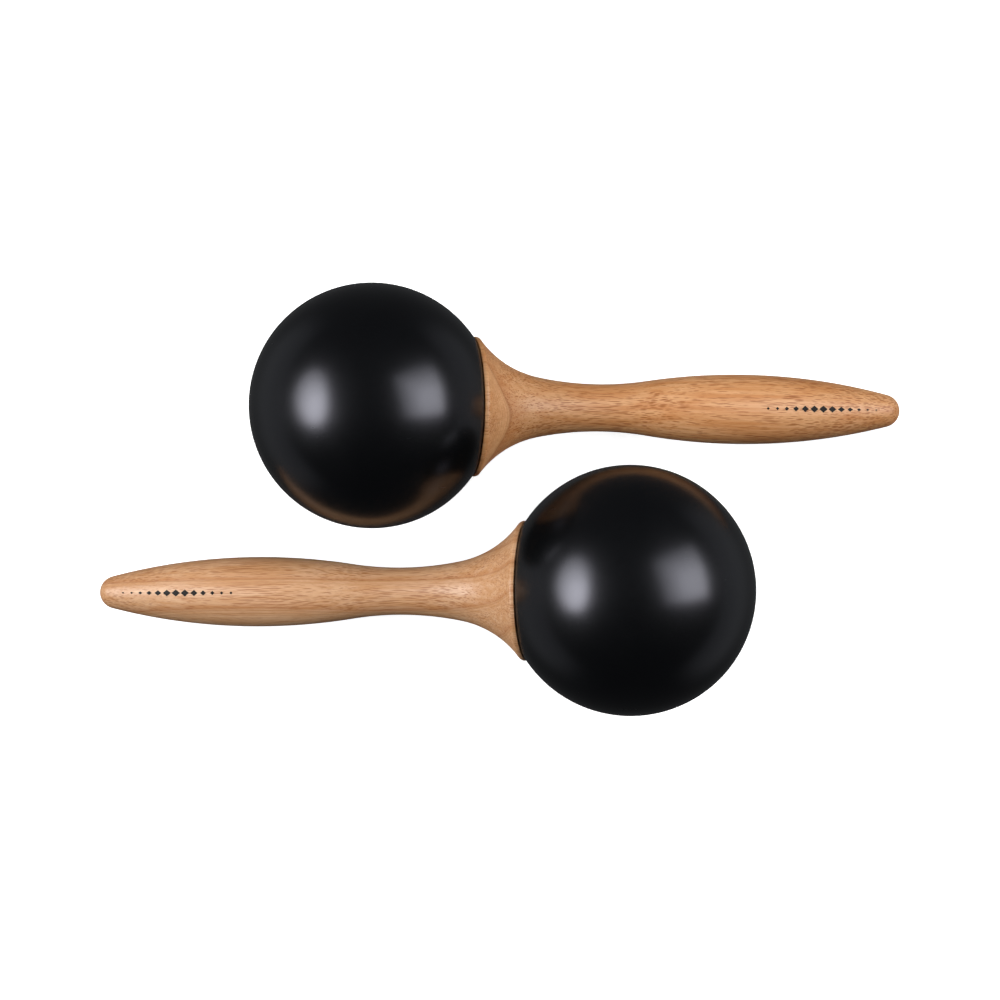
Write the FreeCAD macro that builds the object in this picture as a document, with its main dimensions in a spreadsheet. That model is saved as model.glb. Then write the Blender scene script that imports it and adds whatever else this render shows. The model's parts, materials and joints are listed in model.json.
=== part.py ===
import FreeCAD, Part
import math
import os
import Sketcher
from FreeCAD import Placement, Rotation, Vector

# A pair of maracas, laid head to tail on a flat surface, in millimetres with +Z up.
# Each one is a hollow black ball in two bonded halves, filled with loose steel shot, on a turned wooden
# handle. The handle's collar meets a flat face on the ball, and its tenon is glued in a moulded socket there
# and held by a wood screw, which is driven from inside the ball before its halves are closed.
#
# Two local frames are used, both with +X along the handle towards its tip:
#   ball frame: the origin is the centre of the ball
#   seat frame: the origin is where the handle's collar seats on the ball's flat face
# The shells are drawn in the ball frame, and the handle, screw and washer in the seat frame. The shot is
# drawn around the centre of the ball too, but upright, so that -Z is the way it falls.

DIMENSIONS = (
    # ball
    ("shell_radius_a", 47.0, "outside radius of ball a"),
    ("shell_radius_b", 48.0, "outside radius of ball b"),
    ("wall", 2.4, "thickness of the ball's wall"),
    ("lap_length", 3.0, "length of the lap joint between the two halves"),
    ("tongue", 1.15, "thickness of the rear half's tongue in the lap joint"),
    ("bond_gap", 0.05, "room for adhesive in the lap joint and around the tenon"),
    # flat face and socket of the rear half
    ("face_radius", 27.0, "radius of the ball's flat face, which the collar meets"),
    ("face_round", 0.25, "rounding of the flat face's edge"),
    ("flange", 3.0, "thickness of the wall behind the flat face"),
    ("socket_depth", 16.5, "depth of the socket for the tenon"),
    ("socket_wall", 2.4, "wall of the socket's cup"),
    ("socket_floor", 3.0, "thickness of the socket's floor"),
    ("screw_hole", 2.3, "radius of the screw's hole in the socket's floor"),
    ("rib_count", 6, "gussets between the socket's cup and the ball's wall"),
    ("rib_thickness", 1.6, "thickness of a gusset"),
    ("rib_length", 4.0, "length of a gusset along the handle"),
    ("rib_root", 0.6, "how far a gusset runs into the walls that it joins"),
    # handle
    ("tenon_radius", 16.0, "radius of the tenon"),
    ("tenon_length", 16.0, "length of the tenon"),
    ("tenon_chamfer", 1.0, "chamfer on the tenon's end"),
    ("groove_width", 1.5, "width of a glue groove around the tenon"),
    ("groove_depth", 0.6, "depth of a glue groove"),
    ("groove_at", 4.0, "distance from the seat to the first glue groove"),
    ("groove_step", 5.0, "spacing of the glue grooves"),
    ("groove_count", 2, "number of glue grooves"),
    ("seat_radius", 24.3, "radius of the collar's face that touches the ball"),
    ("rim_relief", 0.4, "shadow gap between the collar's rim and the flat face"),
    ("rim_radius", 26.95, "outside radius of the collar's rim"),
    ("rim_land", 1.7, "width of the rim before the flare starts"),
    ("rim_round", 0.3, "rounding of the rim's edge beside the gap"),
    ("flare_round", 1.5, "rounding of the rim's edge at the flare"),
    ("flare_arc", 40.0, "radius of the concave arc from the rim"),
    ("neck_at", 50.55, "distance from the seat to the thinnest point"),
    ("neck_radius", 9.2, "radius of the thinnest point"),
    ("neck_arc", 124.0, "radius of the concave arc around the neck"),
    ("grip_radius", 13.65, "radius of the thickest point of the grip"),
    ("grip_arc", 249.5, "radius of the convex arc along the grip"),
    ("handle_length", 173.05, "distance from the seat to the tip"),
    # screw and washer
    ("bore_radius", 2.03, "radius of the thread's bore in the tenon"),
    ("bore_depth", 21.0, "distance from the seat to the bottom of the bore"),
    ("screw_radius", 2.0, "outside radius of the thread"),
    ("shank_length", 6.0, "length of the plain shank under the head"),
    ("thread_depth", 0.6, "depth of the thread"),
    ("thread_pitch", 1.8, "pitch of the thread"),
    ("thread_fall", 0.72, "length of the thread's flank towards the head"),
    ("thread_root", 0.36, "length of the thread's flat root"),
    ("thread_rise", 0.54, "length of the thread's flank towards the point"),
    ("thread_count", 17, "number of turns of the thread"),
    ("point_length", 3.5, "length of the screw's point"),
    ("head_radius", 4.0, "radius of the pan head"),
    ("head_height", 2.6, "height of the pan head"),
    ("head_round", 1.2, "rounding of the pan head"),
    ("recess_width", 1.1, "width of the cross recess"),
    ("recess_length", 4.6, "length of the cross recess at its mouth"),
    ("recess_floor", 3.0, "length of the cross recess at its floor"),
    ("recess_depth", 1.5, "depth of the cross recess"),
    ("washer_radius", 6.0, "outside radius of the washer"),
    ("washer_thickness", 1.0, "thickness of the washer"),
    ("washer_hole", 2.2, "radius of the washer's hole"),
    # shot
    ("shot_radius", 2.25, "radius of a steel ball"),
    ("shot_pitch", 4.6, "spacing of the steel balls in a layer"),
    ("layer_gap", 0.3, "room between a layer and the wall, or the layer outside it"),
    ("wall_layer_rings", 3, "rings of balls in the layer on the wall"),
    ("middle_layer_rings", 2, "rings of balls in the middle layer"),
    ("top_layer_rings", 1, "rings of balls in the top layer"),
    # layout
    ("ball_distance_x", 98.7, "distance along X between the centres of the balls"),
    ("ball_distance_y", 70.6, "distance along Y between the centres of the balls"),
    ("yaw_a", -0.2, "direction of handle a, in degrees from +X"),
    ("yaw_b", 180.6, "direction of handle b, in degrees from +X"),
)

doc = FreeCAD.newDocument("maracas")


def make_sheet():
    """The driving dimensions: a name, a plain number and a note in each row."""
    made = doc.addObject("Spreadsheet::Sheet", "dims")
    for row, (alias, number, note) in enumerate(DIMENSIONS, 1):
        made.set(f"A{row}", alias)
        made.set(f"B{row}", str(number))
        made.set(f"C{row}", note)
        made.setAlias(f"B{row}", alias)
    doc.recompute()
    return made


sheet = make_sheet()


def value(expression):
    """What an expression in the driving dimensions comes to."""
    found = sheet.evalExpression(expression)
    return float(getattr(found, "Value", found))


# ---- sketches and features ----

HORIZONTAL_AXIS = -1
VERTICAL_AXIS = -2
START, END, CENTRE = 1, 2, 3
SAME = 1e-9     # two lengths closer than this are one
FOUND = 1e-4    # how near an edge has to be to the place it is looked for


def origin_feature(body, role):
    """One of a body's own origin planes or axes."""
    return next(item for item in body.Origin.OriginFeatures if item.Role == role)


def new_sketch(body, name, plane="XY_Plane"):
    """An empty sketch on one of the body's origin planes."""
    sketch = body.newObject("Sketcher::SketchObject", name)
    sketch.AttachmentSupport = [(origin_feature(body, plane), "")]
    sketch.MapMode = "FlatFace"
    return sketch


def hold(sketch, kind, where, expression):
    """A dimension in a sketch, bound to an expression."""
    number = sketch.addConstraint(Sketcher.Constraint(kind, *where, value(expression)))
    sketch.setExpression(f"Constraints[{number}]", expression)


def hold_distance(sketch, kind, edge, end, expression):
    """Hold a point of an edge at a distance from the origin along X or Y, or on the axis if that is 0."""
    if abs(value(expression)) < SAME:
        axis = VERTICAL_AXIS if kind == "DistanceX" else HORIZONTAL_AXIS
        sketch.addConstraint(Sketcher.Constraint("PointOnObject", edge, end, axis))
    else:
        hold(sketch, kind, (edge, end), expression)


def hold_point(sketch, edge, end, corner):
    """Hold a point of an edge at both its distances from the origin."""
    hold_distance(sketch, "DistanceX", edge, end, corner[0])
    hold_distance(sketch, "DistanceY", edge, end, corner[1])


def place_of(corner):
    """Where a corner is, from its two expressions."""
    return Vector(value(corner[0]), value(corner[1]), 0)


def arc_between(start, end, centre):
    """The shorter arc from start to end. Sketches draw arcs anticlockwise, so this also tells whether the
    arc starts at end instead."""
    angles = [math.atan2(place.y - centre.y, place.x - centre.x) for place in (start, end)]
    swapped = (angles[1] - angles[0]) % (2 * math.pi) > math.pi
    if swapped:
        angles.reverse()
    circle = Part.Circle(centre, Vector(0, 0, 1), (start - centre).Length)
    return Part.ArcOfCircle(circle, *angles), swapped


def draw_closed(sketch, shapes, smooth=()):
    """Draw edges end to end as a closed outline. Returns each edge with its starting and ending point.

    shapes holds each edge with whether it is drawn backwards, and smooth holds the numbers of the edges
    that run smoothly into the next one.
    """
    edges = []
    for shape, swapped in shapes:
        edge = sketch.addGeometry(shape, False)
        edges.append((edge, END, START) if swapped else (edge, START, END))
    for number, (edge, _, end) in enumerate(edges):
        following, start, _ = edges[(number + 1) % len(edges)]
        kind = "Tangent" if number in smooth else "Coincident"
        sketch.addConstraint(Sketcher.Constraint(kind, edge, end, following, start))
    return edges


def draw_round_outline(sketch, corners, arcs):
    """Draw and hold a closed outline of lines and of arcs centred on the origin.

    arcs gives the radius of the edge that starts at a numbered corner. A corner at the end of an arc is
    held on it at the distance X, or on the axis.
    """
    places = [place_of(corner) for corner in corners]
    shapes = []
    for number, (start, end) in enumerate(zip(places, places[1:] + places[:1])):
        if number in arcs:
            shapes.append(arc_between(start, end, Vector()))
        else:
            shapes.append((Part.LineSegment(start, end), False))
    edges = draw_closed(sketch, shapes)
    for number, radius in arcs.items():
        edge = edges[number][0]
        sketch.addConstraint(Sketcher.Constraint("Coincident", edge, CENTRE, HORIZONTAL_AXIS, START))
        hold(sketch, "Radius", (edge,), radius)
    ends_of_arcs = {(number + step) % len(corners) for number in arcs for step in (0, 1)}
    for number, (edge, start, _) in enumerate(edges):
        on_axis = abs(places[number].y) < SAME
        if number not in ends_of_arcs or not on_axis:
            hold_distance(sketch, "DistanceX", edge, start, corners[number][0])
        if number not in ends_of_arcs or on_axis:
            hold_distance(sketch, "DistanceY", edge, start, corners[number][1])


def draw_polygon(sketch, corners):
    """Draw and hold a closed outline of lines."""
    draw_round_outline(sketch, corners, {})


def revolve(body, name, sketch, kind="PartDesign::Revolution"):
    """Turn a sketch all the way around the body's X axis, to add or to cut."""
    feature = body.newObject(kind, name)
    feature.Profile = sketch
    feature.ReferenceAxis = (sketch, ["H_Axis"])
    feature.Angle = 360
    sketch.Visibility = False
    doc.recompute()
    return feature


def pad(body, name, sketch, length):
    """Extrude a sketch by the same distance on both sides of its plane."""
    feature = body.newObject("PartDesign::Pad", name)
    feature.Profile = sketch
    feature.Midplane = True
    feature.setExpression("Length", length)
    sketch.Visibility = False
    return feature


def repeat(body, name, kind, feature, axis_property, count):
    """Repeat a feature around or along the body's X axis."""
    pattern = body.newObject(kind, name)
    pattern.Originals = [feature]
    setattr(pattern, axis_property, (origin_feature(body, "X_Axis"), [""]))
    pattern.setExpression("Occurrences", count)
    body.Tip = pattern
    return pattern


def ring_edge(feature, x, radius):
    """The name of the circular edge of a turned feature at this place along X, of this radius."""
    for number, edge in enumerate(feature.Shape.Edges, 1):
        curve = edge.Curve
        if isinstance(curve, Part.Circle) and abs(curve.Radius - radius) < FOUND:
            if abs(curve.Center.x - x) < FOUND:
                return f"Edge{number}"
    raise ValueError(f"{feature.Label} has no edge of radius {radius} at {x}")


def round_ring(body, name, feature, x, radius, size):
    """Round the circular edge of a turned feature."""
    fillet = body.newObject("PartDesign::Fillet", name)
    fillet.Base = (feature, [ring_edge(feature, value(x), value(radius))])
    fillet.setExpression("Radius", size)
    doc.recompute()
    return fillet


# ---- sub-parts ----

def ball_radius(side):
    """Expression for the outside radius of a ball."""
    return f"dims.shell_radius_{side}"


def cavity_radius(side):
    """Expression for the inside radius of a ball."""
    return f"({ball_radius(side)} - dims.wall)"


def on_sphere(radius, x):
    """Expression for a sphere's distance from the X axis at x."""
    return f"sqrt({radius}^2 - ({x})^2)"


def seat_distance(side):
    """Expression for the distance from the centre of the ball to the seat of the handle's collar."""
    return on_sphere(ball_radius(side), "dims.face_radius")


def new_body(name):
    """An empty body of its own name."""
    body = doc.addObject("PartDesign::Body", name)
    body.Label = name
    return body


def shell_front(side):
    """The half of the ball away from the handle: a dome with a rebate for the lap joint."""
    body = new_body(f"shell_front_{side}")
    outer, inner = ball_radius(side), cavity_radius(side)
    rebate = f"{inner} + dims.tongue + dims.bond_gap"
    sketch = new_sketch(body, f"dome_outline_{side}")
    corners = (
        (f"-{outer}", "0"),
        ("0", outer),
        ("0", rebate),
        ("-dims.lap_length", rebate),
        ("-dims.lap_length", on_sphere(inner, "dims.lap_length")),
        (f"-{inner}", "0"),
    )
    draw_round_outline(sketch, corners, {0: outer, 4: inner})
    revolve(body, f"dome_{side}", sketch)
    return body


def shell_rear(side):
    """The half of the ball beside the handle, with a tongue, a flat face and a ribbed socket."""
    body = new_body(f"shell_rear_{side}")
    outer, inner, seat = ball_radius(side), cavity_radius(side), seat_distance(side)
    tongue_radius = f"{inner} + dims.tongue"
    tongue_length = "dims.lap_length - dims.bond_gap"
    socket_radius = "dims.tenon_radius + dims.bond_gap"
    cup_radius = f"{socket_radius} + dims.socket_wall"
    bottom = f"{seat} - dims.socket_depth"
    cup_end = f"{bottom} - dims.socket_floor"
    flange_back = f"{seat} - dims.flange"
    sketch = new_sketch(body, f"bowl_outline_{side}")
    corners = (
        (f"-({tongue_length})", on_sphere(inner, tongue_length)),
        (f"-({tongue_length})", tongue_radius),
        ("0", tongue_radius),
        ("0", outer),
        (seat, "dims.face_radius"),
        (seat, socket_radius),
        (bottom, socket_radius),
        (bottom, "dims.screw_hole"),
        (cup_end, "dims.screw_hole"),
        (cup_end, cup_radius),
        (flange_back, cup_radius),
        (flange_back, on_sphere(inner, flange_back)),
    )
    draw_round_outline(sketch, corners, {3: outer, 11: inner})
    bowl = revolve(body, f"bowl_{side}", sketch)
    round_ring(body, f"face_edge_{side}", bowl, seat, "dims.face_radius", "dims.face_round")

    rib_start = f"{flange_back} - dims.rib_length"
    rib_sketch = new_sketch(body, f"rib_outline_{side}")
    draw_polygon(rib_sketch, (
        (rib_start, f"{cup_radius} - dims.rib_root"),
        (f"{flange_back} + dims.rib_root", f"{cup_radius} - dims.rib_root"),
        (f"{flange_back} + dims.rib_root", f"{on_sphere(inner, flange_back)} - dims.rib_root"),
        (rib_start, f"{on_sphere(inner, rib_start)} + dims.rib_root"),
    ))
    rib = pad(body, f"rib_{side}", rib_sketch, "dims.rib_thickness")
    repeat(body, f"ribs_{side}", "PartDesign::PolarPattern", rib, "Axis", "dims.rib_count")
    return body


def handle_arcs():
    """The handle's four smooth arcs from the rim to the tip, as (start, end, centre)."""
    rim = place_of(("dims.rim_relief + dims.rim_land", "dims.rim_radius"))
    tip = place_of(("dims.handle_length", "0"))
    flare_arc, neck_arc, grip_arc = (value(f"dims.{arc}_arc") for arc in ("flare", "neck", "grip"))
    neck = place_of(("dims.neck_at", "dims.neck_radius + dims.neck_arc"))
    # The flare's centre is its radius from the rim, and the difference of the radii from the neck's centre.
    apart = neck - rim
    along = (apart.Length**2 + flare_arc**2 - (neck_arc - flare_arc)**2) / (2 * apart.Length)
    across = math.sqrt(flare_arc**2 - along**2)
    direction = apart.normalize()
    flare = rim + direction * along + Vector(direction.y, -direction.x) * across
    # The grip bulges the other way, so its centre is the sum of the radii from the neck's centre.
    grip_y = value("dims.grip_radius") - grip_arc
    grip = Vector(neck.x + math.sqrt((neck_arc + grip_arc)**2 - (neck.y - grip_y)**2), grip_y)
    # The tip is centred on the axis, and touches both the end of the handle and the grip.
    reach = tip.x - grip.x
    tip_radius = (grip_arc**2 - reach**2 - grip_y**2) / (2 * (grip_arc - reach))
    end = Vector(tip.x - tip_radius, 0)
    flare_to_neck = neck + (flare - neck).normalize() * neck_arc
    neck_to_grip = neck + (grip - neck).normalize() * neck_arc
    grip_to_tip = grip + (end - grip).normalize() * grip_arc
    joints = (rim, flare_to_neck, neck_to_grip, grip_to_tip, tip)
    return tuple(zip(joints, joints[1:], (flare, neck, grip, end)))


def handle(side):
    """The turned wooden handle: tenon, collar, waist, swelling grip and rounded tip."""
    body = new_body(f"handle_{side}")
    sketch = new_sketch(body, f"handle_outline_{side}")
    corners = (
        ("dims.handle_length", "0"),
        ("-dims.tenon_length", "0"),
        ("-dims.tenon_length", "dims.tenon_radius - dims.tenon_chamfer"),
        ("dims.tenon_chamfer - dims.tenon_length", "dims.tenon_radius"),
        ("0", "dims.tenon_radius"),
        ("0", "dims.seat_radius"),
        ("dims.rim_relief", "dims.seat_radius"),
        ("dims.rim_relief", "dims.rim_radius"),
        ("dims.rim_relief + dims.rim_land", "dims.rim_radius"),
    )
    places = [place_of(corner) for corner in corners]
    lines = [(Part.LineSegment(*pair), False) for pair in zip(places, places[1:])]
    arcs = [arc_between(*arc) for arc in handle_arcs()]
    first_arc = len(lines)
    edges = draw_closed(sketch, lines + arcs, smooth=range(first_arc, first_arc + len(arcs) - 1))
    for (edge, start, _), corner in zip(edges, corners):
        hold_point(sketch, edge, start, corner)
    flare, neck, grip, tip = (edge for edge, _, _ in edges[first_arc:])
    hold(sketch, "Radius", (flare,), "dims.flare_arc")
    hold(sketch, "Radius", (neck,), "dims.neck_arc")
    hold(sketch, "Radius", (grip,), "dims.grip_arc")
    hold_point(sketch, neck, CENTRE, ("dims.neck_at", "dims.neck_radius + dims.neck_arc"))
    hold_distance(sketch, "DistanceY", grip, CENTRE, "dims.grip_radius - dims.grip_arc")
    hold_distance(sketch, "DistanceY", tip, CENTRE, "0")
    turned = revolve(body, f"turned_{side}", sketch)
    edge = round_ring(body, f"rim_edge_{side}", turned, "dims.rim_relief", "dims.rim_radius",
                      "dims.rim_round")
    round_ring(body, f"flare_edge_{side}", edge, "dims.rim_relief + dims.rim_land", "dims.rim_radius",
               "dims.flare_round")

    bore_sketch = new_sketch(body, f"bore_outline_{side}")
    draw_polygon(bore_sketch, (
        ("-dims.tenon_length", "0"),
        ("dims.bore_depth", "0"),
        ("dims.bore_depth - dims.bore_radius", "dims.bore_radius"),
        ("-dims.tenon_length", "dims.bore_radius"),
    ))
    revolve(body, f"bore_{side}", bore_sketch, "PartDesign::Groove")

    groove_sketch = new_sketch(body, f"glue_groove_outline_{side}")
    groove_bottom = "dims.tenon_radius - dims.groove_depth"
    groove_start = "-dims.groove_at - dims.groove_width"
    draw_polygon(groove_sketch, (
        (groove_start, groove_bottom),
        ("-dims.groove_at", groove_bottom),
        ("-dims.groove_at", "dims.tenon_radius"),
        (groove_start, "dims.tenon_radius"),
    ))
    groove = revolve(body, f"glue_groove_{side}", groove_sketch, "PartDesign::Groove")
    grooves = repeat(body, f"glue_grooves_{side}", "PartDesign::LinearPattern", groove, "Direction",
                     "dims.groove_count")
    grooves.Reversed = True
    grooves.setExpression("Length", "dims.groove_step * (dims.groove_count - 1)")
    return body


WASHER_FACE = "(-dims.socket_depth - dims.socket_floor)"
HEAD_SEAT = f"({WASHER_FACE} - dims.washer_thickness)"


def handle_screw(side):
    """The pan-head wood screw, with ring-shaped threads and a cross recess."""
    body = new_body(f"handle_screw_{side}")
    sketch = new_sketch(body, f"screw_outline_{side}")
    head_top = f"{HEAD_SEAT} - dims.head_height"
    thread_length = "dims.thread_pitch * dims.thread_count"
    point_start = f"{HEAD_SEAT} + dims.shank_length + {thread_length}"
    draw_polygon(sketch, (
        (head_top, "0"),
        (head_top, "dims.head_radius"),
        (HEAD_SEAT, "dims.head_radius"),
        (HEAD_SEAT, "dims.screw_radius"),
        (point_start, "dims.screw_radius"),
        (f"{point_start} + dims.point_length", "0"),
    ))
    blank = revolve(body, f"screw_blank_{side}", sketch)
    round_ring(body, f"screw_head_{side}", blank, head_top, "dims.head_radius", "dims.head_round")

    thread_start = f"{HEAD_SEAT} + dims.shank_length"
    root_start = f"{thread_start} + dims.thread_fall"
    root_end = f"{root_start} + dims.thread_root"
    thread_sketch = new_sketch(body, f"thread_outline_{side}")
    draw_polygon(thread_sketch, (
        (thread_start, "dims.screw_radius"),
        (root_start, "dims.screw_radius - dims.thread_depth"),
        (root_end, "dims.screw_radius - dims.thread_depth"),
        (f"{root_end} + dims.thread_rise", "dims.screw_radius"),
    ))
    thread = revolve(body, f"thread_{side}", thread_sketch, "PartDesign::Groove")
    threads = repeat(body, f"threads_{side}", "PartDesign::LinearPattern", thread, "Direction",
                     "dims.thread_count")
    threads.setExpression("Length", "dims.thread_pitch * (dims.thread_count - 1)")
    doc.recompute()

    for plane in ("XY_Plane", "XZ_Plane"):
        recess_sketch = new_sketch(body, f"recess_{plane[:2]}_{side}", plane)
        draw_polygon(recess_sketch, (
            (head_top, "-dims.recess_length / 2"),
            (f"{head_top} + dims.recess_depth", "-dims.recess_floor / 2"),
            (f"{head_top} + dims.recess_depth", "dims.recess_floor / 2"),
            (head_top, "dims.recess_length / 2"),
        ))
        recess = body.newObject("PartDesign::Pocket", f"slot_{plane[:2]}_{side}")
        recess.Profile = recess_sketch
        recess.Midplane = True
        recess.setExpression("Length", "dims.recess_width")
        doc.recompute()
    return body


def screw_washer(side):
    """The plain washer between the screw's head and the socket's floor."""
    body = new_body(f"screw_washer_{side}")
    sketch = new_sketch(body, f"washer_outline_{side}")
    draw_polygon(sketch, (
        (HEAD_SEAT, "dims.washer_hole"),
        (WASHER_FACE, "dims.washer_hole"),
        (WASHER_FACE, "dims.washer_radius"),
        (HEAD_SEAT, "dims.washer_radius"),
    ))
    revolve(body, f"washer_{side}", sketch)
    return body


SHOT_LAYERS = ("wall_layer", "middle_layer", "top_layer")
BALLS_IN_FIRST_RING = 6     # each further ring has this many more


def shot_layer(side, depth, layer):
    """One layer of the loose shot: rings of separate balls around one that lies straight down."""
    name = f"shot_{layer}_{side}"
    shot = value("dims.shot_radius")
    layer_step = 2 * shot + value("dims.layer_gap")
    layer_radius = value(cavity_radius(side)) - shot - value("dims.layer_gap") - depth * layer_step
    ring_step = 2 * math.asin(value("dims.shot_pitch") / (2 * layer_radius))
    balls = []
    for ring in range(int(value(f"dims.{layer}_rings")) + 1):
        lean = Rotation(Vector(0, 1, 0), math.degrees(ring * ring_step))
        count = max(1, BALLS_IN_FIRST_RING * ring)
        for number in range(count):
            turn = Rotation(Vector(0, 0, 1), 360 * number / count)
            ball = doc.addObject("Part::Sphere", f"{name}_ball_{len(balls) + 1}")
            ball.setExpression("Radius", "dims.shot_radius")
            ball.Placement = Placement((turn * lean).multVec(Vector(0, 0, -layer_radius)), Rotation())
            balls.append(ball)
    pile = doc.addObject("Part::Compound", name)
    pile.Label = name
    pile.Links = balls
    return pile


# ---- layout ----

def resting_tilt(side):
    """The angle of the handle below the level, when the ball and the grip both touch the surface.

    The grip touches it on its long convex arc, whose centre is at (reach, rise) from the ball's centre.
    """
    grip_centre = handle_arcs()[2][2]
    reach = value(seat_distance(side)) + grip_centre.x
    rise = grip_centre.y
    drop = value(ball_radius(side)) - value("dims.grip_arc")
    return math.asin(drop / math.hypot(reach, rise)) - math.atan2(rise, reach)


def handle_turn(side):
    """The rotation from a ball's frame to the pair's frame."""
    yaw = Rotation(Vector(0, 0, 1), value(f"dims.yaw_{side}"))
    return yaw * Rotation(Vector(0, 1, 0), math.degrees(resting_tilt(side)))


def tip_reach(side):
    """How far the tip of a handle is from the centre of its ball along X, without its sign."""
    _, tip, centre = handle_arcs()[3]
    tip_radius = (tip - centre).Length
    to_centre = Vector(value(seat_distance(side)) + centre.x, 0, 0)
    return abs(handle_turn(side).multVec(to_centre).x) + tip_radius


def ball_centres():
    """Where the balls' centres are, with the middle of the pair's footprint at the origin."""
    apart_x, apart_y = value("dims.ball_distance_x"), value("dims.ball_distance_y")
    radius = {side: value(ball_radius(side)) for side in "ab"}
    middle_x = (tip_reach("a") + apart_x - tip_reach("b")) / 2
    middle_y = (radius["a"] - apart_y - radius["b"]) / 2
    return {
        "a": Vector(-middle_x, -middle_y, radius["a"]),
        "b": Vector(apart_x - middle_x, -apart_y - middle_y, radius["b"]),
    }


def make_maraca(side, centre):
    """All the pieces of one maraca, in place."""
    turn = handle_turn(side)
    ball_frame = Placement(centre, turn)
    seat_frame = ball_frame * Placement(Vector(value(seat_distance(side)), 0, 0), Rotation())
    upright = Placement(centre, Rotation(Vector(0, 0, 1), value(f"dims.yaw_{side}")))
    placed = [(make(side), ball_frame) for make in (shell_front, shell_rear)]
    placed += [(make(side), seat_frame) for make in (handle, handle_screw, screw_washer)]
    placed += [(shot_layer(side, depth, layer), upright) for depth, layer in enumerate(SHOT_LAYERS)]
    for piece, placement in placed:
        piece.Placement = placement
    return [piece for piece, _ in placed]


def check(pieces):
    """Stop if any object of the document failed, or a piece isn't valid solids."""
    for item in doc.Objects:
        if {"Invalid", "Error"} & set(item.State):
            raise RuntimeError(f"{item.Label} failed: {item.State}")
    for piece in pieces:
        if piece.Shape.isNull() or not piece.Shape.isValid() or not piece.Shape.Solids:
            raise RuntimeError(f"{piece.Label} isn't a valid solid")


centres = ball_centres()
pieces = [piece for side in "ab" for piece in make_maraca(side, centres[side])]
doc.recompute()
check(pieces)
os.makedirs("parts", exist_ok=True)
for piece in pieces:
    piece.Shape.exportStep(f"parts/{piece.Label}.step")

whole = Part.makeCompound([piece.Shape for piece in pieces]).optimalBoundingBox(False)
print(f"{len(pieces)} pieces, {whole.XLength:.2f} x {whole.YLength:.2f} x {whole.ZLength:.2f} mm, "
      f"centred at ({whole.Center.x:.3f}, {whole.Center.y:.3f}), lowest at {whole.ZMin:.4f}")
for side in "ab":
    axis = handle_turn(side).multVec(Vector(1, 0, 0))
    print(f"maraca {side}: centre of the ball {tuple(round(c, 3) for c in centres[side])}, "
          f"handle along {tuple(round(c, 5) for c in axis)}, "
          f"tilt {math.degrees(resting_tilt(side)):.2f} degrees")
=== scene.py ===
import json
import math

import bpy
import numpy as np
from mathutils import Matrix, Vector


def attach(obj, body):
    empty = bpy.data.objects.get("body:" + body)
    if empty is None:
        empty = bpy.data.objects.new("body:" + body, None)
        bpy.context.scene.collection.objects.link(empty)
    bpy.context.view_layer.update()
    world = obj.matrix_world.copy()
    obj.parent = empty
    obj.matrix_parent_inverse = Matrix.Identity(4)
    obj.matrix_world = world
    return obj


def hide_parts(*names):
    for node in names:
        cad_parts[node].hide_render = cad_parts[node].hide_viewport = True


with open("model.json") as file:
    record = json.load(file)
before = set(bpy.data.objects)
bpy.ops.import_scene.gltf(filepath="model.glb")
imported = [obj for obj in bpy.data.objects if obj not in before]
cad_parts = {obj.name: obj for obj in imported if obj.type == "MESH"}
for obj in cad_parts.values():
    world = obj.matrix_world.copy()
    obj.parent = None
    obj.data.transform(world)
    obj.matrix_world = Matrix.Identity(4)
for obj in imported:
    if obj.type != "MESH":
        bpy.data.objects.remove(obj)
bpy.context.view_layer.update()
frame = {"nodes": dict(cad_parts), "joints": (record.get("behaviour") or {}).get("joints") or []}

MM = 0.001
ON_AXIS = 1e-7      # a point nearer to the axis than this is on it
SAME = 1e-6         # two lengths closer than this are one
SIDES = ("a", "b")

# ---- shape of a maraca, in metres ----
# Local frame of each maraca: the origin is the centre of the ball, +X runs along the handle to its tip.
# The seat is where the wooden collar meets the flat face of the ball.

# The ball and the socket in it.
WALL = 2.4 * MM
FACE_RADIUS = 27.0 * MM
FACE_ROUND = 0.25 * MM
SOCKET_RADIUS = 16.05 * MM
SOCKET_DEPTH = 16.5 * MM
SOCKET_FLOOR = 3.0 * MM
SOCKET_WALL = 2.4 * MM
SCREW_HOLE = 2.3 * MM
FLANGE = 3.0 * MM           # thickness of the wall behind the flat face

# The handle: a tenon, a collar with a rim, a flare, a hollow neck, a bulging grip and a tip.
TENON_RADIUS = 16.0 * MM
TENON_LENGTH = 16.0 * MM
TENON_CHAMFER = 1.0 * MM
BORE_RADIUS = 2.03 * MM
BORE_DEPTH = 21.0 * MM
SEAT_RADIUS = 24.3 * MM
RIM_RELIEF = 0.4 * MM       # gap between the rim and the ball's face
RIM_RADIUS = 26.95 * MM
RIM_LAND = 1.7 * MM         # width of the rim before the flare starts
RIM_ROUND = 0.3 * MM
FLARE_ROUND = 1.5 * MM
FLARE_ARC = 40.0 * MM       # this and the other arcs are radii of the outline's curves
NECK_AT = 50.55 * MM        # where the neck is thinnest, from the seat
NECK_RADIUS = 9.2 * MM
NECK_ARC = 124.0 * MM
GRIP_RADIUS = 13.65 * MM
GRIP_ARC = 249.5 * MM
HANDLE_LENGTH = 173.05 * MM     # from the seat to the tip

# The rim was sanded by hand, so it is a little uneven. Each wave is how often it repeats round the rim, and
# its shift. The waviness is their height.
WAVES = ((3, 0.4), (5, 2.1), (8, 4.0), (13, 1.2), (21, 5.3))
WAVINESS = {"a": 0.02 * MM, "b": 0.06 * MM}

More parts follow.
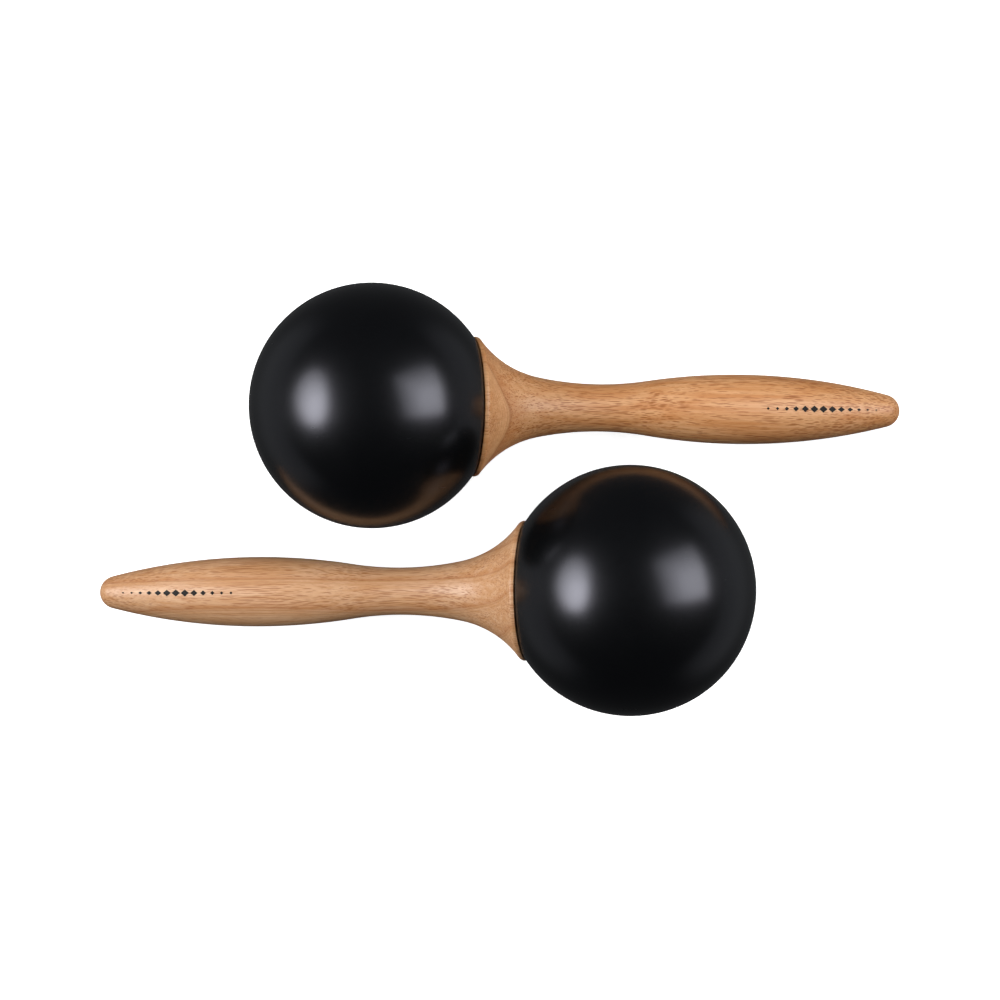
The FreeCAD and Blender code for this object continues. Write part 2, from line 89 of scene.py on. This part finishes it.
# The row of printed lozenges near the tip of the handle.
LOZENGES = 13
LOZENGE_LENGTH = 3.6 * MM
LOZENGE_WIDTH = 3.2 * MM
SMALLEST_LOZENGE = 0.36     # its size, as a share of the largest one's
ORNAMENT_FROM_TIP = 35.0 * MM
ORNAMENT_LENGTH = 46.0 * MM
INK_BELOW = -0.05 * MM
INK_ABOVE = 0.03 * MM

# ---- fineness of the meshes ----
TURNED_SEGMENTS = 256
BALL_OUTSIDE_STEPS = (90, 60)
BALL_INSIDE_STEPS = (30, 45)
FACE_STEP = 1.5 * MM
FLARE_STEPS = 60
HANDLE_STEPS = (70, 120, 24)    # of the neck, the grip and the tip
LOZENGE_STEPS = 8
SHARP_DEGREES = 40
FIT = 0.9998        # scale of these finer meshes, which keeps them inside the CAD's box

# ---- colours and grain ----
LACQUER_RUBBED = (0.0012, 0.0014, 0.0017)
LACQUER_DEEP = (0.0006, 0.0008, 0.0010)
INK_DEEP = (0.004, 0.0035, 0.003)
INK_WORN = (0.012, 0.008, 0.006)
LATE_WOOD = (0.70, 0.40, 0.195)
LAMINA_BROWN = (0.30, 0.13, 0.045)
EARLY_BROWN = (0.34, 0.115, 0.030)
LINE_BROWN = (0.26, 0.090, 0.026)
FIBRE_BROWN = (0.36, 0.15, 0.05)
FINE_PORE = (0.27, 0.085, 0.020)
VESSEL_BROWN = (0.235, 0.068, 0.015)
RING_LINE = 0.7 * MM        # half the width of the dark line between two growth rings
GRAIN_WANDER = 3 * MM       # how far the grain strays from a straight run

# What each handle was cut from. The function rubberwood says what these mean.
WOODS = {
    "a": {"cut_from": (0.31, 0.12, 0.07), "pith": (0.0425, -0.1426), "ring_width": 0.02217,
          "line_depth": 0.5, "dash_depth": 0.84, "late_paler": 0.5,
          "pale": (0.565, 0.303, 0.139), "deep": (0.460, 0.198, 0.070)},
    "b": {"cut_from": (0.83, 0.41, 0.22), "pith": (-0.07, -0.01), "ring_width": 0.0105,
          "line_depth": 0.2, "dash_depth": 0.60, "late_paler": 0.1,
          "pale": (0.590, 0.358, 0.206), "deep": (0.495, 0.255, 0.115)},
}

# ---- studio ----
CAMERA_HEIGHT = 1.1
CAMERA_AIM = Vector((0.115, -0.31)) * MM
VIEW_WIDTH = 0.3995
SENSOR = 36.0
FLOOR_RADIUS = 4.5
COVE = 1.5                      # radius of the curve between the floor and the wall
COVE_STEPS = 16
WALL_HEIGHT = 6.0
FLOOR_DROP = 0.2 * MM
STUDIO_SEGMENTS = 96
LIT = Vector((0, 0, 0.09))      # what the lights are turned towards
PANES = (1.0, 0.8, 0.6)         # sizes of a softbox's panes, as shares of the largest one's
PANE_GAP = 0.01


def local_frame(side):
    """A maraca's own frame, from the axis that its shot swirls about, which is the handle's."""
    joint = next(j for j in frame["joints"] if j["name"] == f"swirl_{side}")
    along = Vector(joint["axis"]).normalized()
    up = (Vector((0, 0, 1)) - along * along.z).normalized()
    turn = Matrix((along, up.cross(along), up)).transposed()
    return Matrix.Translation(joint["pos_m"]) @ turn.to_4x4()


def ball_radius(side):
    """The ball rests on the floor, so its centre is one radius up."""
    return local_frame(side).translation.z


def seat_distance(side):
    """From the centre of the ball to the seat of the collar."""
    return math.sqrt(ball_radius(side)**2 - FACE_RADIUS**2)


# ---- outlines: lists of (distance along the handle, distance from its axis) ----

def arc(centre, start, end, steps):
    """Points of the shorter arc from start to end, without start."""
    centre, start, end = (np.array(place, float) for place in (centre, start, end))
    radius = np.hypot(*(start - centre))
    first = math.atan2(*(start - centre)[::-1])
    turn = math.atan2(*(end - centre)[::-1]) - first
    turn = (turn + math.pi) % (2 * math.pi) - math.pi
    angles = first + turn * np.arange(1, steps + 1) / steps
    return [(centre[0] + radius * math.cos(a), centre[1] + radius * math.sin(a)) for a in angles]


def direction(here, there):
    """The direction from one place to another, one long."""
    return (there - here) / np.hypot(*(there - here))


def rounded(before, corner, after, radius, steps=6):
    """Points that round a corner of a polygon, from its tangent point on one side to the other."""
    before, corner, after = (np.array(place, float) for place in (before, corner, after))
    back = direction(corner, before)
    on = direction(corner, after)
    half = math.acos(np.clip(back @ on, -1, 1)) / 2
    start = corner + back * radius / math.tan(half)
    end = corner + on * radius / math.tan(half)
    middle = (back + on) / np.hypot(*(back + on))
    return [tuple(start)] + arc(corner + middle * radius / math.sin(half), start, end, steps)


def spread(start, end, step):
    """Points along a straight run, so that no face is long and thin, without its start."""
    start, end = np.array(start, float), np.array(end, float)
    steps = max(1, round(np.hypot(*(end - start)) / step))
    return [tuple(start + (end - start) * n / steps) for n in range(1, steps + 1)]


def flare_centre(rim, neck):
    """Centre of the flare's arc, which starts at the rim and runs smoothly into the neck's."""
    distance = np.hypot(*(neck - rim))
    along = (distance**2 + FLARE_ARC**2 - (NECK_ARC - FLARE_ARC)**2) / (2 * distance)
    across = math.sqrt(FLARE_ARC**2 - along**2)
    inward = direction(rim, neck)
    return rim + inward * along + np.array((inward[1], -inward[0])) * across


def grip_centre(neck):
    """Centre of the grip's arc, which bulges, and runs smoothly on from the hollow neck's."""
    height = GRIP_RADIUS - GRIP_ARC
    along = math.sqrt((NECK_ARC + GRIP_ARC)**2 - (neck[1] - height)**2)
    return np.array((NECK_AT + along, height))


def tip_centre(grip):
    """Centre of the tip's arc, on the axis. It runs smoothly on from the grip's."""
    reach = HANDLE_LENGTH - grip[0]
    radius = (GRIP_ARC**2 - reach**2 - grip[1]**2) / (2 * (GRIP_ARC - reach))
    return np.array((HANDLE_LENGTH - radius, 0))


def handle_arcs():
    """The four smooth arcs from the rim to the tip, as (start, end, centre), from the seat."""
    rim = np.array((RIM_RELIEF + RIM_LAND, RIM_RADIUS))
    neck = np.array((NECK_AT, NECK_RADIUS + NECK_ARC))
    flare = flare_centre(rim, neck)
    grip = grip_centre(neck)
    tip = tip_centre(grip)
    neck_start = neck + direction(neck, flare) * NECK_ARC
    grip_start = neck + direction(neck, grip) * NECK_ARC
    tip_start = grip + direction(grip, tip) * GRIP_ARC
    end = np.array((HANDLE_LENGTH, 0))
    return [(rim, neck_start, flare), (neck_start, grip_start, neck), (grip_start, tip_start, grip),
            (tip_start, end, tip)]


def handle_outline():
    """The whole section of the handle, from the bottom of its bore round to its tip."""
    arcs = handle_arcs()
    rim = (RIM_RELIEF + RIM_LAND, RIM_RADIUS)
    into_flare = arc(arcs[0][2], *arcs[0][:2], FLARE_STEPS)
    points = [(BORE_DEPTH, 0), (BORE_DEPTH - BORE_RADIUS, BORE_RADIUS), (-TENON_LENGTH, BORE_RADIUS),
              (-TENON_LENGTH, TENON_RADIUS - TENON_CHAMFER), (TENON_CHAMFER - TENON_LENGTH, TENON_RADIUS),
              (0, TENON_RADIUS), (0, SEAT_RADIUS), (RIM_RELIEF, SEAT_RADIUS)]
    points += rounded((RIM_RELIEF, SEAT_RADIUS), (RIM_RELIEF, RIM_RADIUS), rim, RIM_ROUND)
    edge = rounded((RIM_RELIEF, RIM_RADIUS), rim, into_flare[1], FLARE_ROUND)
    points += edge
    points += [place for place in into_flare if place[0] > edge[-1][0]]
    for (start, end, centre), steps in zip(arcs[1:], HANDLE_STEPS):
        points += arc(centre, start, end, steps)
    return points


def ball_outline(radius):
    """The whole section of the ball, from its outer pole round by the face and socket to its inner one."""
    inner = radius - WALL
    seat = math.sqrt(radius**2 - FACE_RADIUS**2)
    flange_back = seat - FLANGE
    bottom = seat - SOCKET_DEPTH
    cup_end = bottom - SOCKET_FLOOR
    cup_radius = SOCKET_RADIUS + SOCKET_WALL
    sphere = [(-radius, 0)] + arc((0, 0), (-radius, 0), (0, radius), BALL_OUTSIDE_STEPS[0])
    sphere += arc((0, 0), (0, radius), (seat, FACE_RADIUS), BALL_OUTSIDE_STEPS[1])
    edge = rounded(sphere[-2], (seat, FACE_RADIUS), (seat, SOCKET_RADIUS), FACE_ROUND)
    points = [place for place in sphere if place[0] < edge[0][0]] + edge
    points += spread(edge[-1], (seat, SOCKET_RADIUS), FACE_STEP)
    points += [(bottom, SOCKET_RADIUS), (bottom, SCREW_HOLE), (cup_end, SCREW_HOLE), (cup_end, cup_radius),
               (flange_back, cup_radius), (flange_back, math.sqrt(inner**2 - flange_back**2))]
    points += arc((0, 0), points[-1], (0, inner), BALL_INSIDE_STEPS[0])
    points += arc((0, 0), (0, inner), (-inner, 0), BALL_INSIDE_STEPS[1])
    return points


# ---- meshes ----

def make_piece(name, vertices, faces):
    """A smooth mesh object in the scene."""
    mesh = bpy.data.meshes.new(name)
    mesh.from_pydata(vertices, [], faces)
    mesh.validate()
    mesh.shade_smooth()
    piece = bpy.data.objects.new(name, mesh)
    bpy.context.scene.collection.objects.link(piece)
    return piece


def lathe(name, outline, segments):
    """A closed turned mesh around X from an outline whose two ends are on the axis."""
    ring = [place for place in outline if place[1] > ON_AXIS]
    angles = 2 * math.pi * np.arange(segments) / segments
    vertices = [(outline[0][0], 0, 0)]
    vertices += [(x, r * math.sin(a), r * math.cos(a)) for x, r in ring for a in angles]
    vertices.append((outline[-1][0], 0, 0))
    faces = [(0, 1 + n, 1 + (n + 1) % segments) for n in range(segments)]
    for row in range(len(ring) - 1):
        first = 1 + row * segments
        second = first + segments
        faces += [(first + n, second + n, second + (n + 1) % segments, first + (n + 1) % segments)
                  for n in range(segments)]
    last = 1 + (len(ring) - 1) * segments
    end = len(vertices) - 1
    faces += [(last + n, end, last + (n + 1) % segments) for n in range(segments)]
    return make_piece(name, vertices, faces)


def sharpen(piece):
    """Keep the corners of a smooth piece crisp."""
    piece.data.set_sharp_from_angle(angle=math.radians(SHARP_DEGREES))


# ---- node trees ----

class Nodes:
    """Adds nodes to a tree and links them. An input may be a number, a tuple or another node's output."""

    def __init__(self, tree):
        self.tree = tree

    def add(self, kind, inputs=None, **settings):
        node = self.tree.nodes.new(f"ShaderNode{kind}")
        for key, setting in settings.items():
            setattr(node, key, setting)
        for key, given in (inputs or {}).items():
            self.give(node.inputs[key], given)
        return node

    def give(self, socket, given):
        if isinstance(given, bpy.types.NodeSocket):
            self.tree.links.new(given, socket)
        elif given is not None:
            socket.default_value = given

    def math(self, operation, first, second=None, third=None):
        return self.add("Math", {0: first, 1: second, 2: third}, operation=operation).outputs[0]

    def vector(self, operation, first, second=None):
        return self.add("VectorMath", {0: first, 1: second}, operation=operation).outputs[0]

    def map(self, value, low, high, to_low=0.0, to_high=1.0):
        """A value from low to high, turned smoothly into one from to_low to to_high."""
        return self.add("MapRange", {"Value": value, "From Min": low, "From Max": high, "To Min": to_low,
                                     "To Max": to_high}, interpolation_type="SMOOTHSTEP").outputs["Result"]


class Surface(Nodes):
    """The nodes of a new material. With own, a maraca's matrix, its positions are in that maraca's frame."""

    def __init__(self, name, own=None):
        self.material = bpy.data.materials.new(name)
        self.material.use_nodes = True
        super().__init__(self.material.node_tree)
        self.tree.nodes.clear()
        self.output = self.tree.nodes.new("ShaderNodeOutputMaterial")
        self.where = self.add("TexCoord").outputs["Object"]
        if own:
            self.where = self.add("Mapping", {"Vector": self.where, "Location": own.to_translation(),
                                              "Rotation": own.to_euler()}, vector_type="TEXTURE").outputs[0]

    def scaled(self, *scale, source=None):
        """The position, stretched along each axis."""
        return self.vector("MULTIPLY", source or self.where, scale)

    def turned(self, angles, *scale):
        """The position, turned and then stretched."""
        return self.add("Mapping", {"Vector": self.where, "Rotation": angles, "Scale": scale}).outputs[0]

    def noise(self, where, scale=1.0, detail=2.0, roughness=0.5):
        return self.add("TexNoise", {"Vector": where, "Scale": scale, "Detail": detail,
                                     "Roughness": roughness}).outputs["Fac"]

    def voronoi(self, where, scale=1.0):
        return self.add("TexVoronoi", {"Vector": where, "Scale": scale}).outputs["Distance"]

    def mix(self, share, first, second):
        """The first colour, with a share of the second."""
        node = self.add("Mix", data_type="RGBA")
        factor, _, _, _, _, _, first_colour, second_colour = node.inputs[:8]
        self.give(factor, share)
        self.give(first_colour, first)
        self.give(second_colour, second)
        return node.outputs[2]

    def ramp(self, value, *stops):
        """Colours along a value, as (position, colour)."""
        node = self.add("ValToRGB", {"Fac": value})
        elements = node.color_ramp.elements
        while len(elements) < len(stops):
            elements.new(0.5)
        for element, (position, colour) in zip(elements, stops):
            element.position = position
            element.color = (*colour, 1)
        return node.outputs["Color"]

    def bump(self, height, distance, strength, normal=None):
        return self.add("Bump", {"Height": height, "Distance": distance, "Strength": strength,
                                 "Normal": normal}).outputs["Normal"]

    def shade(self, **inputs):
        """The surface shader. Underscores in a name stand for spaces."""
        shader = self.add("BsdfPrincipled", {key.replace("_", " "): given for key, given in inputs.items()})
        self.tree.links.new(shader.outputs["BSDF"], self.output.inputs["Surface"])
        return self.material


# ---- materials ----

def black_lacquer(side, own):
    """Satin black lacquer over moulded plastic: faint orange peel, a few dust nibs and fine rubbing marks."""
    n = Surface(f"black_lacquer_{side}", own)
    peel = n.noise(n.where, scale=420.0, detail=3.0, roughness=0.55)
    ripple = n.noise(n.where, scale=45.0)
    nibs = n.map(n.voronoi(n.where, scale=110.0), 0.03, 0.0)
    rubbed = n.noise(n.where, scale=38.0, detail=4.0, roughness=0.6)
    strokes = n.turned((0.3, 0.5, 0.9), 60.0, 840.0, 180.0)
    scuffs = n.map(n.noise(strokes, detail=4.0, roughness=0.7), 0.62, 0.8)
    roughness = n.math("MULTIPLY_ADD", scuffs, 0.03, n.map(rubbed, 0.3, 0.7, 0.235, 0.265))
    normal = n.bump(ripple, 0.06 * MM, 0.25)
    normal = n.bump(peel, 0.006 * MM, 0.4, normal)
    normal = n.bump(nibs, 0.012 * MM, 0.2, normal)
    colour = n.ramp(rubbed, (0.3, LACQUER_DEEP), (0.75, LACQUER_RUBBED))
    return n.shade(Base_Color=colour, Roughness=roughness, Normal=normal, IOR=1.43,
                   Specular_Tint=(0.87, 0.87, 1.0, 1), Coat_Weight=0.10, Coat_Roughness=0.5, Coat_IOR=1.45)


def growth_rings(n, wander, pith, ring_width):
    """The shares of dark ring line, of late wood past a line and of early wood before one, and a fine
    layering that follows the rings.
    """
    from_pith = n.vector("SUBTRACT", n.vector("ADD", n.where, wander), (0, *pith))
    depth = n.add("VectorMath", {0: n.scaled(0, 1, 1, source=from_pith)}, operation="LENGTH").outputs["Value"]
    rings = n.math("MULTIPLY", depth, 1 / ring_width)
    past_line = n.math("FRACT", n.math("ADD", rings, 0.5))
    from_line = n.math("ABSOLUTE", n.math("SUBTRACT", n.math("FRACT", rings), 0.5))
    line = n.map(from_line, RING_LINE / ring_width, 0.0)
    late = n.map(past_line, 0.0, 0.4, 1.0, 0.0)
    early = n.map(past_line, 0.75, 1.0)
    layer = n.add("CombineXYZ", {"X": depth, "Y": 0.0, "Z": 0.0}).outputs[0]
    lamina = n.noise(layer, scale=2200.0, roughness=0.6)
    return line, late, early, lamina


def vessels(n, tree, bent, late):
    """Streaks along the grain, which show as dashes, and as dots where the flare cuts across them."""
    crowd = n.noise(n.scaled(18, 120, 120, source=bent))
    wide = n.map(crowd, 0.34, 0.64, 0.27, 0.50)
    long_ones = n.math("DIVIDE", n.voronoi(n.scaled(88, 1550, 1550, source=bent)), wide)
    short_ones = n.math("DIVIDE", n.voronoi(n.scaled(150, 1900, 1900, source=tree)), wide)
    both = n.math("MAXIMUM", n.map(long_ones, 1.0, 0.45), n.map(short_ones, 0.85, 0.4, 0.0, 0.8))
    return n.math("MULTIPLY", both, n.map(late, 0.0, 1.0, 1.0, 0.25))


def varnish(n, wood, pits, fibres, clouds):
    """A thin varnish, which sinks into the wood's pits and lets its fibres show."""
    normal = n.bump(n.math("MULTIPLY", pits, -1.0), 0.05 * MM, 0.4)
    normal = n.bump(fibres, 0.01 * MM, 0.35, normal)
    roughness = n.math("MULTIPLY_ADD", pits, 0.10, n.map(clouds, 0.3, 0.7, 0.40, 0.50))
    return n.shade(Base_Color=wood, Roughness=roughness, Normal=normal, IOR=1.42, Coat_Weight=0.14,
                   Coat_Roughness=0.26, Coat_IOR=1.45)


def rubberwood(side, own, cut_from, pith, ring_width, line_depth, dash_depth, late_paler, pale, deep):
    """Varnished rubberwood, with its grain along the handle.

    cut_from is a place in the tree, pith is where the tree's centre runs, across and above the handle,
    line_depth and dash_depth are how dark the ring lines and the dashes are, late_paler is how much paler the
    wood is just past a ring line, and pale and deep are the wood's lightest and darkest colours.
    """
    n = Surface(f"rubberwood_{side}", own)
    tree = n.vector("ADD", n.where, cut_from)
    wander = n.add("TexNoise", {"Vector": n.scaled(9, 40, 40, source=tree), "Scale": 1.0}).outputs["Color"]
    wander = n.scaled(0, GRAIN_WANDER, GRAIN_WANDER, source=n.vector("SUBTRACT", wander, (0.5, 0.5, 0.5)))
    bent = n.vector("ADD", tree, wander)

    line, late, early, lamina = growth_rings(n, wander, pith, ring_width)
    vessel = vessels(n, tree, bent, late)
    fine = n.map(n.noise(n.scaled(280, 2500, 2500, source=bent), detail=1.0), 0.56, 0.68)
    streaks = n.noise(n.scaled(16, 620, 620, source=bent), detail=3.0, roughness=0.6)
    clouds = n.noise(n.scaled(26, 70, 70, source=bent), detail=3.0)
    fibres = n.noise(n.scaled(110, 2600, 2600, source=bent), detail=3.0, roughness=0.6)

    tone = n.math("MULTIPLY_ADD", streaks, 0.72, n.math("MULTIPLY", clouds, 0.28))
    wood = n.mix(n.map(tone, 0.38, 0.64), (*deep, 1), (*pale, 1))
    stains = ((n.math("MULTIPLY", late, late_paler), LATE_WOOD),
              (n.math("MULTIPLY", late, n.map(lamina, 0.40, 0.60, 0.0, 0.50)), LAMINA_BROWN),
              (n.math("MULTIPLY", early, 0.42), EARLY_BROWN),
              (n.math("MULTIPLY", line, line_depth), LINE_BROWN),
              (n.map(fibres, 0.34, 0.66, 0.0, 0.20), FIBRE_BROWN),
              (n.math("MULTIPLY", fine, 0.22), FINE_PORE),
              (n.math("MULTIPLY", vessel, dash_depth), VESSEL_BROWN))
    for share, stain in stains:
        wood = n.mix(share, wood, (*stain, 1))
    return varnish(n, wood, n.math("MULTIPLY_ADD", fine, 0.3, vessel), fibres, clouds)


def printing_ink(side, own):
    """Thin black ink printed on the wood's grain, worn a little along the grain."""
    n = Surface(f"printing_ink_{side}", own)
    grain = n.noise(n.scaled(300, 2400, 2400))
    return n.shade(Base_Color=n.ramp(grain, (0.35, INK_DEEP), (0.72, INK_WORN)),
                   Roughness=n.map(grain, 0.3, 0.7, 0.50, 0.62), Normal=n.bump(grain, 0.01 * MM, 0.4),
                   IOR=1.25)


def steel(name, colour, roughness, scratch_scale):
    """Plain steel with fine tumbling or turning marks."""
    n = Surface(name)
    marks = n.noise(n.scaled(1, 1, 6), scratch_scale, detail=4.0, roughness=0.7)
    tint = n.ramp(marks, (0.3, tuple(0.8 * c for c in colour)), (0.7, colour))
    return n.shade(Base_Color=tint, Metallic=1.0,
                   Roughness=n.map(marks, 0.3, 0.7, roughness, roughness + 0.15),
                   Normal=n.bump(marks, 0.01 * MM, 0.4))


def floor_paper():
    """Plain pale paper. Part of its light is its own, so that the shadows on it stay faint."""
    n = Surface("floor_paper")
    fibre = n.noise(n.where, scale=60.0, detail=3.0)
    return n.shade(Base_Color=n.ramp(fibre, (0.3, (0.79, 0.79, 0.79)), (0.7, (0.81, 0.81, 0.81))),
                   Roughness=0.9, Emission_Color=(1, 1, 1, 1), Emission_Strength=0.75)


# ---- pieces ----

def give_material(piece, material):
    piece.data.materials.clear()
    piece.data.materials.append(material)


def finish_piece(piece, side, own, material):
    """Put a piece that was drawn in the maraca's own frame in its place, and make it ride on that maraca."""
    piece.data.transform(own @ Matrix.Scale(FIT, 4))
    piece.data.update()
    give_material(piece, material)
    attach(piece, f"maraca_{side}")


def make_ball(side, own):
    """The black ball, its two halves bonded and painted over, so that no seam shows."""
    ball = lathe(f"ball_{side}", ball_outline(ball_radius(side)), TURNED_SEGMENTS)
    sharpen(ball)
    finish_piece(ball, side, own, black_lacquer(side, own))
    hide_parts(f"shell_front_{side}", f"shell_rear_{side}")


def wave_rim(handle, side):
    """Make the front of the rim a little uneven, so that the shadow gap beside it varies."""
    seat = seat_distance(side)
    for vertex in handle.data.vertices:
        place = vertex.co
        radius = math.hypot(place.y, place.z)
        if radius > SEAT_RADIUS + SAME and place.x - seat < RIM_RELIEF + RIM_LAND / 2:
            angle = math.atan2(place.y, place.z)
            wave = sum(math.sin(turns * angle + shift) / turns**0.5 for turns, shift in WAVES)
            place.x += WAVINESS[side] * wave


def make_handle(side, own):
    """The turned handle, with its collar and tenon."""
    turned_handle = lathe(f"turned_handle_{side}", handle_outline(), TURNED_SEGMENTS)
    turned_handle.data.transform(Matrix.Translation((seat_distance(side), 0, 0)))
    wave_rim(turned_handle, side)
    sharpen(turned_handle)
    finish_piece(turned_handle, side, own, rubberwood(side, own, **WOODS[side]))
    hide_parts(f"handle_{side}")


def grip_surface(x, angle, proud):
    """A point at x from the seat and at an angle from the top of the grip, standing proud of the wood."""
    centre = handle_arcs()[2][2]
    slope = math.asin((x - centre[0]) / GRIP_ARC)
    radius = centre[1] + (GRIP_ARC + proud) * math.cos(slope)
    return (x + proud * math.sin(slope), radius * math.sin(angle), radius * math.cos(angle))


def lozenge_points(middle, size, proud):
    """A square grid of points that covers one lozenge."""
    points = []
    for i in range(LOZENGE_STEPS + 1):
        for j in range(LOZENGE_STEPS + 1):
            along = (i - j) / LOZENGE_STEPS * size * LOZENGE_LENGTH / 2
            around = ((i + j) / LOZENGE_STEPS - 1) * size * LOZENGE_WIDTH / 2
            points.append(grip_surface(middle + along, around / GRIP_RADIUS, proud))
    return points


def lozenge_faces(low):
    """Faces of the thin closed solid between two such grids, the lower of which starts at vertex low."""
    steps = LOZENGE_STEPS
    high = low + (steps + 1)**2

    def at(base, corner):
        return base + corner[0] * (steps + 1) + corner[1]

    faces = []
    for i in range(steps):
        for j in range(steps):
            square = ((i, j), (i + 1, j), (i + 1, j + 1), (i, j + 1))
            faces.append([at(high, corner) for corner in square])
            faces.append([at(low, corner) for corner in reversed(square)])
    border = [(i, 0) for i in range(steps)] + [(steps, j) for j in range(steps)]
    border += [(i, steps) for i in range(steps, 0, -1)] + [(0, j) for j in range(steps, 0, -1)]
    for here, there in zip(border, border[1:] + border[:1]):
        faces.append([at(low, here), at(low, there), at(high, there), at(high, here)])
    return faces


def make_ornament(side, own):
    """A row of printed lozenges near the tip, the largest in the middle. Each is a thin closed solid."""
    vertices = []
    faces = []
    for number in range(LOZENGES):
        share = 2 * number / (LOZENGES - 1) - 1
        size = SMALLEST_LOZENGE + (1 - SMALLEST_LOZENGE) * math.cos(share * math.pi / 2)**2
        middle = HANDLE_LENGTH - ORNAMENT_FROM_TIP + share * ORNAMENT_LENGTH / 2
        faces += lozenge_faces(len(vertices))
        vertices += lozenge_points(middle, size, INK_BELOW) + lozenge_points(middle, size, INK_ABOVE)
    ornament = make_piece(f"ornament_{side}", vertices, faces)
    ornament.data.transform(Matrix.Translation((seat_distance(side), 0, 0)))
    sharpen(ornament)
    finish_piece(ornament, side, own, printing_ink(side, own))


def finish_hidden_parts(side, zinc, shot):
    """Give the screw, the washer and the shot inside the ball their metals."""
    for name in ("handle_screw", "screw_washer"):
        give_material(frame["nodes"][f"{name}_{side}"], zinc)
    for layer in ("wall", "middle", "top"):
        give_material(frame["nodes"][f"shot_{layer}_layer_{side}"], shot)


# ---- stage, lights and camera ----

def make_studio():
    """A pale floor that curves up into a wall all round. Only the camera sees it."""
    outline = [(0, 0), (0, FLOOR_RADIUS)]
    outline += arc((COVE, FLOOR_RADIUS), (0, FLOOR_RADIUS), (COVE, FLOOR_RADIUS + COVE), COVE_STEPS)
    outline.append((WALL_HEIGHT, FLOOR_RADIUS + COVE))
    studio = lathe("studio", outline, STUDIO_SEGMENTS)
    studio.data.transform(Matrix.Translation((0, 0, -FLOOR_DROP)) @ Matrix.Rotation(-math.pi / 2, 4, "Y"))
    give_material(studio, floor_paper())
    studio.visible_diffuse = False
    studio.visible_glossy = False
    studio.visible_shadow = False


def turn_to_object(place):
    """The turn that makes a light at a place shine on the object, with its width level."""
    return (LIT - Vector(place)).to_track_quat("-Z", "Y")


def make_light(light, place, turn):
    """Put a light in its place. The camera doesn't see it."""
    holder = bpy.data.objects.new(light.name, light)
    holder.location = place
    holder.rotation_euler = turn.to_euler()
    holder.visible_camera = False
    bpy.context.scene.collection.objects.link(holder)
    return holder


def softbox(name, place, width, height, radiance, brighter_corner, shape):
    """A soft light made of panes that share one corner, where it is brightest.

    The corner is -1 or 1 across and -1 or 1 upwards.
    """
    turn = turn_to_object(place)
    for number, share in enumerate(PANES):
        pane = bpy.data.lights.new(f"{name}_{number}", "AREA")
        pane.shape = shape
        pane.size = share * width
        pane.size_y = share * height
        area = pane.size * pane.size_y * (math.pi / 4 if shape == "ELLIPSE" else 1)
        pane.energy = radiance / len(PANES) * math.pi * area
        across, upwards = (side * (1 - share) / 2 for side in brighter_corner)
        shift = Vector((across * width, upwards * height, -number * PANE_GAP))
        make_light(pane, Vector(place) + turn @ shift, turn)


def make_fill(place, size, radiance):
    """A large soft light from behind the object, which nothing glossy reflects."""
    fill = bpy.data.lights.new("fill", "AREA")
    fill.size = size
    fill.energy = radiance * math.pi * size**2
    make_light(fill, place, turn_to_object(place)).visible_glossy = False


def make_surroundings():
    """The dim room: darker towards the front, with a glow low down on the left and right."""
    world = bpy.data.worlds.new("room")
    world.use_nodes = True
    n = Nodes(world.node_tree)
    x, y, z = n.add("SeparateXYZ", {0: n.add("TexCoord").outputs["Generated"]}).outputs
    sideways = n.map(n.math("MULTIPLY", x, x), 0.1, 0.6)
    low_down = n.math("MULTIPLY", n.map(z, -0.8, -0.25, 0.2, 1.0), n.map(z, 0.12, -0.08))
    glow = n.map(n.math("MULTIPLY", sideways, low_down), 0.0, 1.0, 0.0, 0.25)
    room = n.map(y, -0.7, 0.3, 0.035, 0.08)
    background = n.tree.nodes["Background"]
    background.inputs["Color"].default_value = (0.93, 0.96, 1.0, 1)
    n.give(background.inputs["Strength"], n.math("ADD", glow, room))
    bpy.context.scene.world = world


def make_camera():
    """A camera high above the pair, looking straight down."""
    camera = bpy.data.cameras.new("camera")
    camera.sensor_width = SENSOR
    camera.lens = SENSOR * CAMERA_HEIGHT / VIEW_WIDTH
    holder = bpy.data.objects.new("camera", camera)
    holder.location = (*CAMERA_AIM, CAMERA_HEIGHT)
    bpy.context.scene.collection.objects.link(holder)
    bpy.context.scene.camera = holder


zinc_steel = steel("zinc_steel", (0.62, 0.62, 0.60), roughness=0.3, scratch_scale=900.0)
steel_shot = steel("steel_shot", (0.50, 0.50, 0.52), roughness=0.22, scratch_scale=700.0)
for side in SIDES:
    own = local_frame(side)
    make_ball(side, own)
    make_handle(side, own)
    make_ornament(side, own)
    finish_hidden_parts(side, zinc_steel, steel_shot)

make_studio()
softbox("left_softbox", place=(-2.49, 0.29, 1.75), width=2.45, height=1.80, radiance=16.0,
        brighter_corner=(1, 1), shape="ELLIPSE")
softbox("right_softbox", place=(0.97, 0.26, 0.935), width=0.97, height=1.06, radiance=8.3,
        brighter_corner=(-1, -1), shape="RECTANGLE")
make_fill(place=(0, 1.2, 0.9), size=1.0, radiance=2.2)
make_surroundings()
make_camera()
bpy.context.scene.view_settings.view_transform = "Standard"
